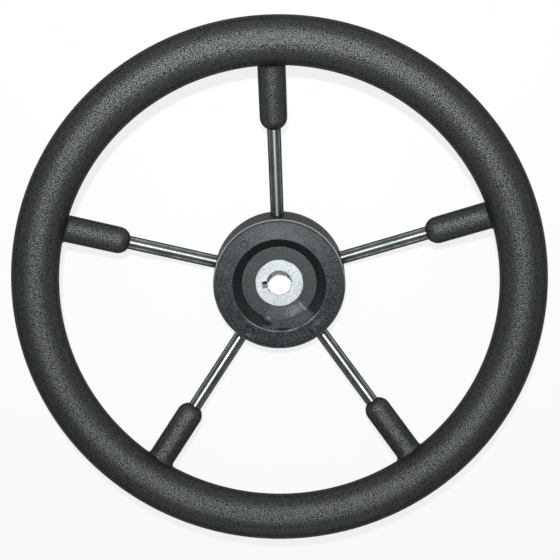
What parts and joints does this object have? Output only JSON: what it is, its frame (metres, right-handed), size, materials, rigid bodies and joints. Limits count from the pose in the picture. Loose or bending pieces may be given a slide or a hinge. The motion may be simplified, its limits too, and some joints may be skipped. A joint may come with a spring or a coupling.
{
  "type": "boat steering wheel",
  "caption": "Round boat steering wheel with a thick black foam grip, slim polished spokes that dish forward from a black hub, and a keyed tapered bore.",
  "frame": {"origin": "on the wheel's axis, in the plane of the hub's rear face, which the wheel lies on", "axes": "+Z along the wheel's axis, from the hub's rear face towards the helmsman; +Y along the first spoke; +X to the helmsman's right with that spoke at the top"},
  "size_m": [0.35, 0.35, 0.0678],
  "materials": {
    "grip_foam": "moulded integral-skin polyurethane foam, fine pebbled grain, satin black",
    "core_steel": "plain rolled steel bar, welded into a ring, hidden in the foam",
    "spoke_steel": "polished stainless steel",
    "hub_nylon": "moulded glass-filled nylon, dull black",
    "insert_aluminium": "bright turned and broached aluminium"
  },
  "bodies": {
    "root": {"grip": "grip_foam", "rim_core": "core_steel", "spoke_1": "spoke_steel", "spoke_2": "spoke_steel", "spoke_3": "spoke_steel", "spoke_4": "spoke_steel", "spoke_5": "spoke_steel", "hub": "hub_nylon", "hub_insert": "insert_aluminium"}
  },
  "joints": []
}
